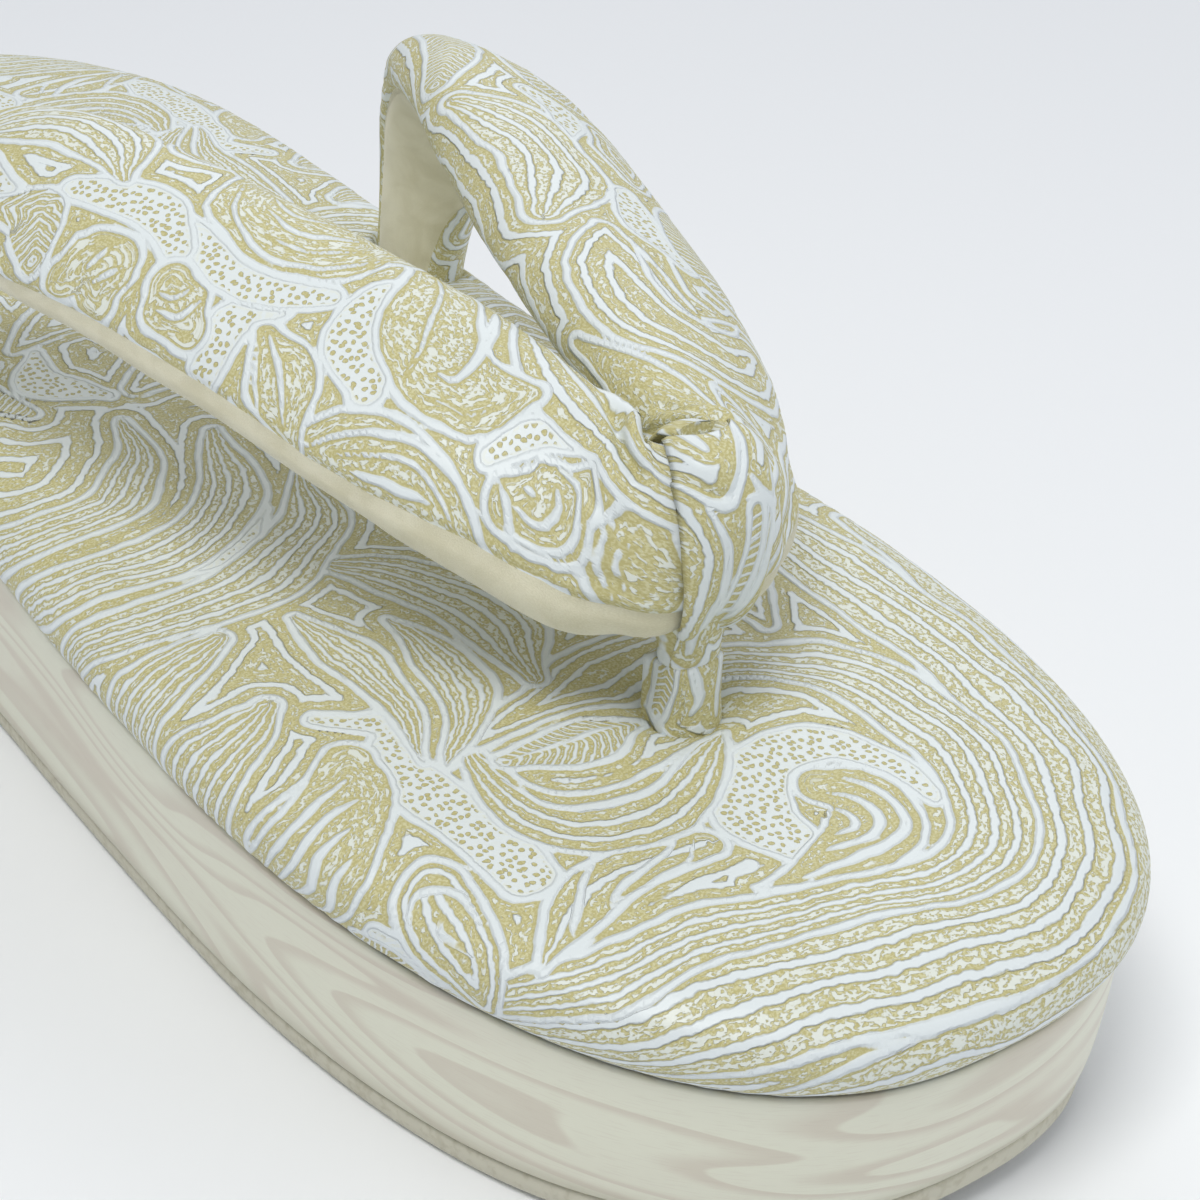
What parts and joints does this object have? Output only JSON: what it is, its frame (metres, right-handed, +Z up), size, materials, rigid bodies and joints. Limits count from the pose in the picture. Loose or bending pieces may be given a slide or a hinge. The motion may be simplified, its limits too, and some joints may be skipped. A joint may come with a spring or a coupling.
{
  "type": "zori sandal",
  "caption": "Japanese thong sandal with a low wedge sole, a padded printed-leather top and a stuffed V-shaped thong held by a band and post between the toes.",
  "frame": {"origin": "on the floor under the middle of the sandal", "axes": "+Z up, -Y towards the toe, X across the foot"},
  "size_m": [0.0846, 0.243, 0.0719],
  "materials": {
    "outsole": "thin sole sheet, matt grey-beige",
    "wood_grain": "pale greige wood grain with pinkish-brown streaks, satin",
    "print": "embossed printed leather, white scrolls and leaves with gold fringes, low sheen; cream velour lining under the thong"
  },
  "bodies": {
    "root": {"outsole": "outsole", "sole": "wood_grain", "insole_pad": "print", "upper_thong": "print", "toe_band": "print", "toe_post_sleeve": "print"}
  },
  "joints": []
}
